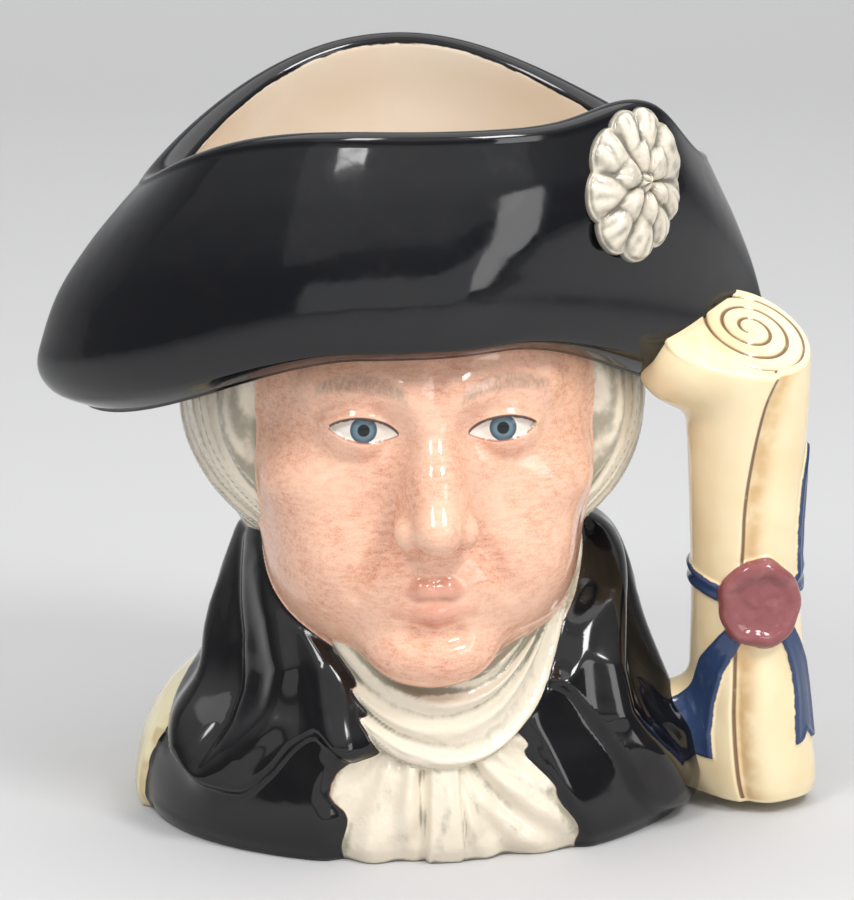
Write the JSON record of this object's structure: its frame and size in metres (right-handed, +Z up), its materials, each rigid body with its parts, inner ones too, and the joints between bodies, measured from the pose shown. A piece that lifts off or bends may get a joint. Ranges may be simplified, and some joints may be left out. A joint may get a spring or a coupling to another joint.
{
  "type": "character jug",
  "caption": "Glazed earthenware jug shaped as a head in a cocked hat above a coat collar, open at the hat's brim, with a tied and sealed scroll as its handle.",
  "frame": {"origin": "on the standing plane, under the middle of the jug's bounding box, handle included", "axes": "+Z up, -Y the way the face looks, +X the handle's side"},
  "size_m": [0.1944, 0.1396, 0.1875],
  "materials": {
    "glaze": null
  },
  "bodies": {
    "root": {"jug": "glaze"}
  },
  "joints": []
}
